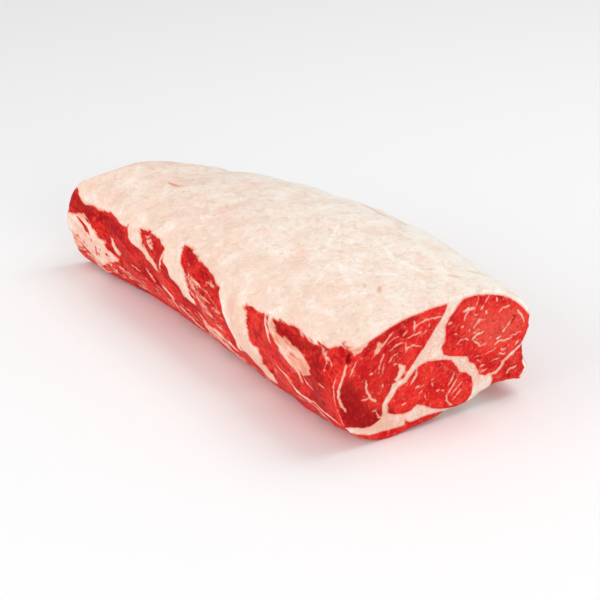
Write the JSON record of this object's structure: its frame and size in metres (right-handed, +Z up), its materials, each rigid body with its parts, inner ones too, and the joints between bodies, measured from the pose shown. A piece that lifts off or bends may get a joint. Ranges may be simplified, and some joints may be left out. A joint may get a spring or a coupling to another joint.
{
  "type": "raw beef striploin",
  "caption": "Whole raw beef striploin: a long block of lean muscles under a layer of fat, cut square at one end, lying flat on its underside.",
  "frame": {"origin": "centre of the whole block's box, on the surface it lies on", "axes": "+X along the block towards the square cut end, +Z up through the fat cap, +Y towards the eye muscle's side"},
  "size_m": [0.4286, 0.196, 0.1116],
  "materials": {
    "fat": "firm cream-white raw fat, satin",
    "seam": "cream raw fat between the muscles, satin",
    "lean": "bright red raw beef, moist",
    "dark_lean": "dark red raw beef, moist"
  },
  "bodies": {
    "root": {"fat_cap": "fat", "seam_fat": "seam", "eye_muscle": "lean", "centre_muscle": "lean", "side_muscle": "dark_lean", "bottom_strip": "lean"}
  },
  "joints": []
}
